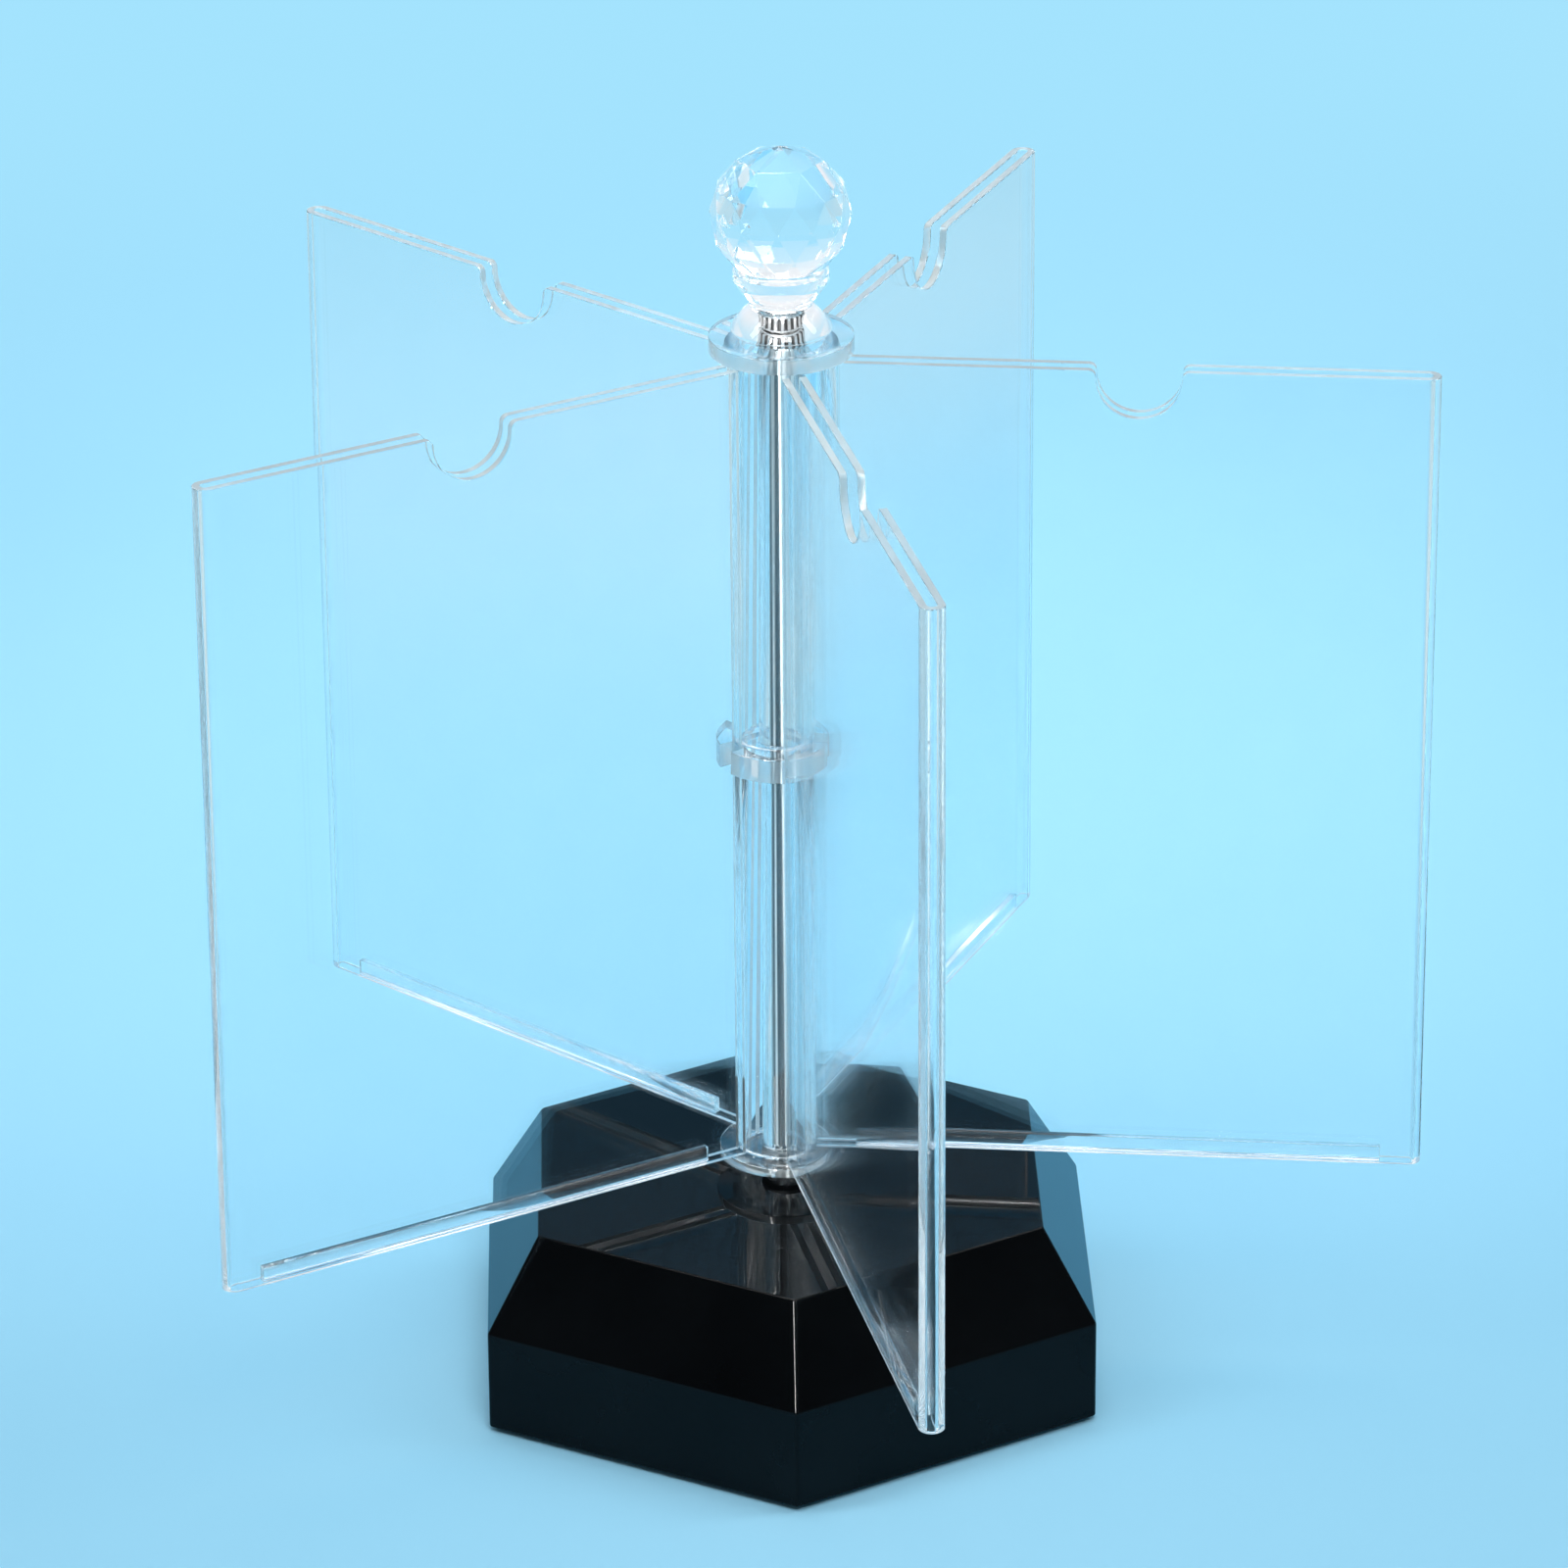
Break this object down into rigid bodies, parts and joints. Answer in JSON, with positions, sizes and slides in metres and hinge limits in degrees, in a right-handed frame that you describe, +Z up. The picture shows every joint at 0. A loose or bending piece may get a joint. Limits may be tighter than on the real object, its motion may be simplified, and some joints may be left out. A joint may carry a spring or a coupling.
{
  "type": "rotating photo display",
  "caption": "Table-top carousel of clear folded photo pockets round a clear column that turns on a steel spindle, with a black hexagonal base and a faceted ball finial.",
  "frame": {"origin": "centre of the underside pad, on the table and on the spindle axis", "axes": "+Z up along the spindle, -Y towards the front corner of the hexagonal base, +X to its right"},
  "size_m": [0.2624, 0.2654, 0.286],
  "materials": {
    "pad": "fine closed-cell foam",
    "black_acrylic": "polished",
    "steel": "polished",
    "nylon": "satin",
    "clear_acrylic": "clear, polished",
    "crystal": "clear, cut and polished"
  },
  "bodies": {
    "stand": {"base_pad": "pad", "base_block": "black_acrylic", "base_washer": "steel", "base_nut": "steel", "spindle": "steel", "jam_nut": "steel", "thrust_washer": "nylon", "finial_foot": "crystal", "finial_insert": "steel", "finial_ball": "crystal"},
    "rotor": {"bottom_disc": "clear_acrylic", "lower_tube": "clear_acrylic", "middle_disc": "clear_acrylic", "upper_tube": "clear_acrylic", "sleeve": "clear_acrylic", "top_disc": "clear_acrylic", "pocket_1": "clear_acrylic", "pocket_2": "clear_acrylic", "pocket_3": "clear_acrylic", "pocket_4": "clear_acrylic", "pocket_5": "clear_acrylic", "spacer_strip_1": "clear_acrylic", "spacer_strip_2": "clear_acrylic", "spacer_strip_3": "clear_acrylic", "spacer_strip_4": "clear_acrylic", "spacer_strip_5": "clear_acrylic"}
  },
  "joints": [
    {"name": "rotor_spin", "type": "hinge", "parent": "stand", "child": "rotor", "pos_m": [0, 0, 0.145], "axis": [0, 0, 1], "continuous": true}
  ]
}
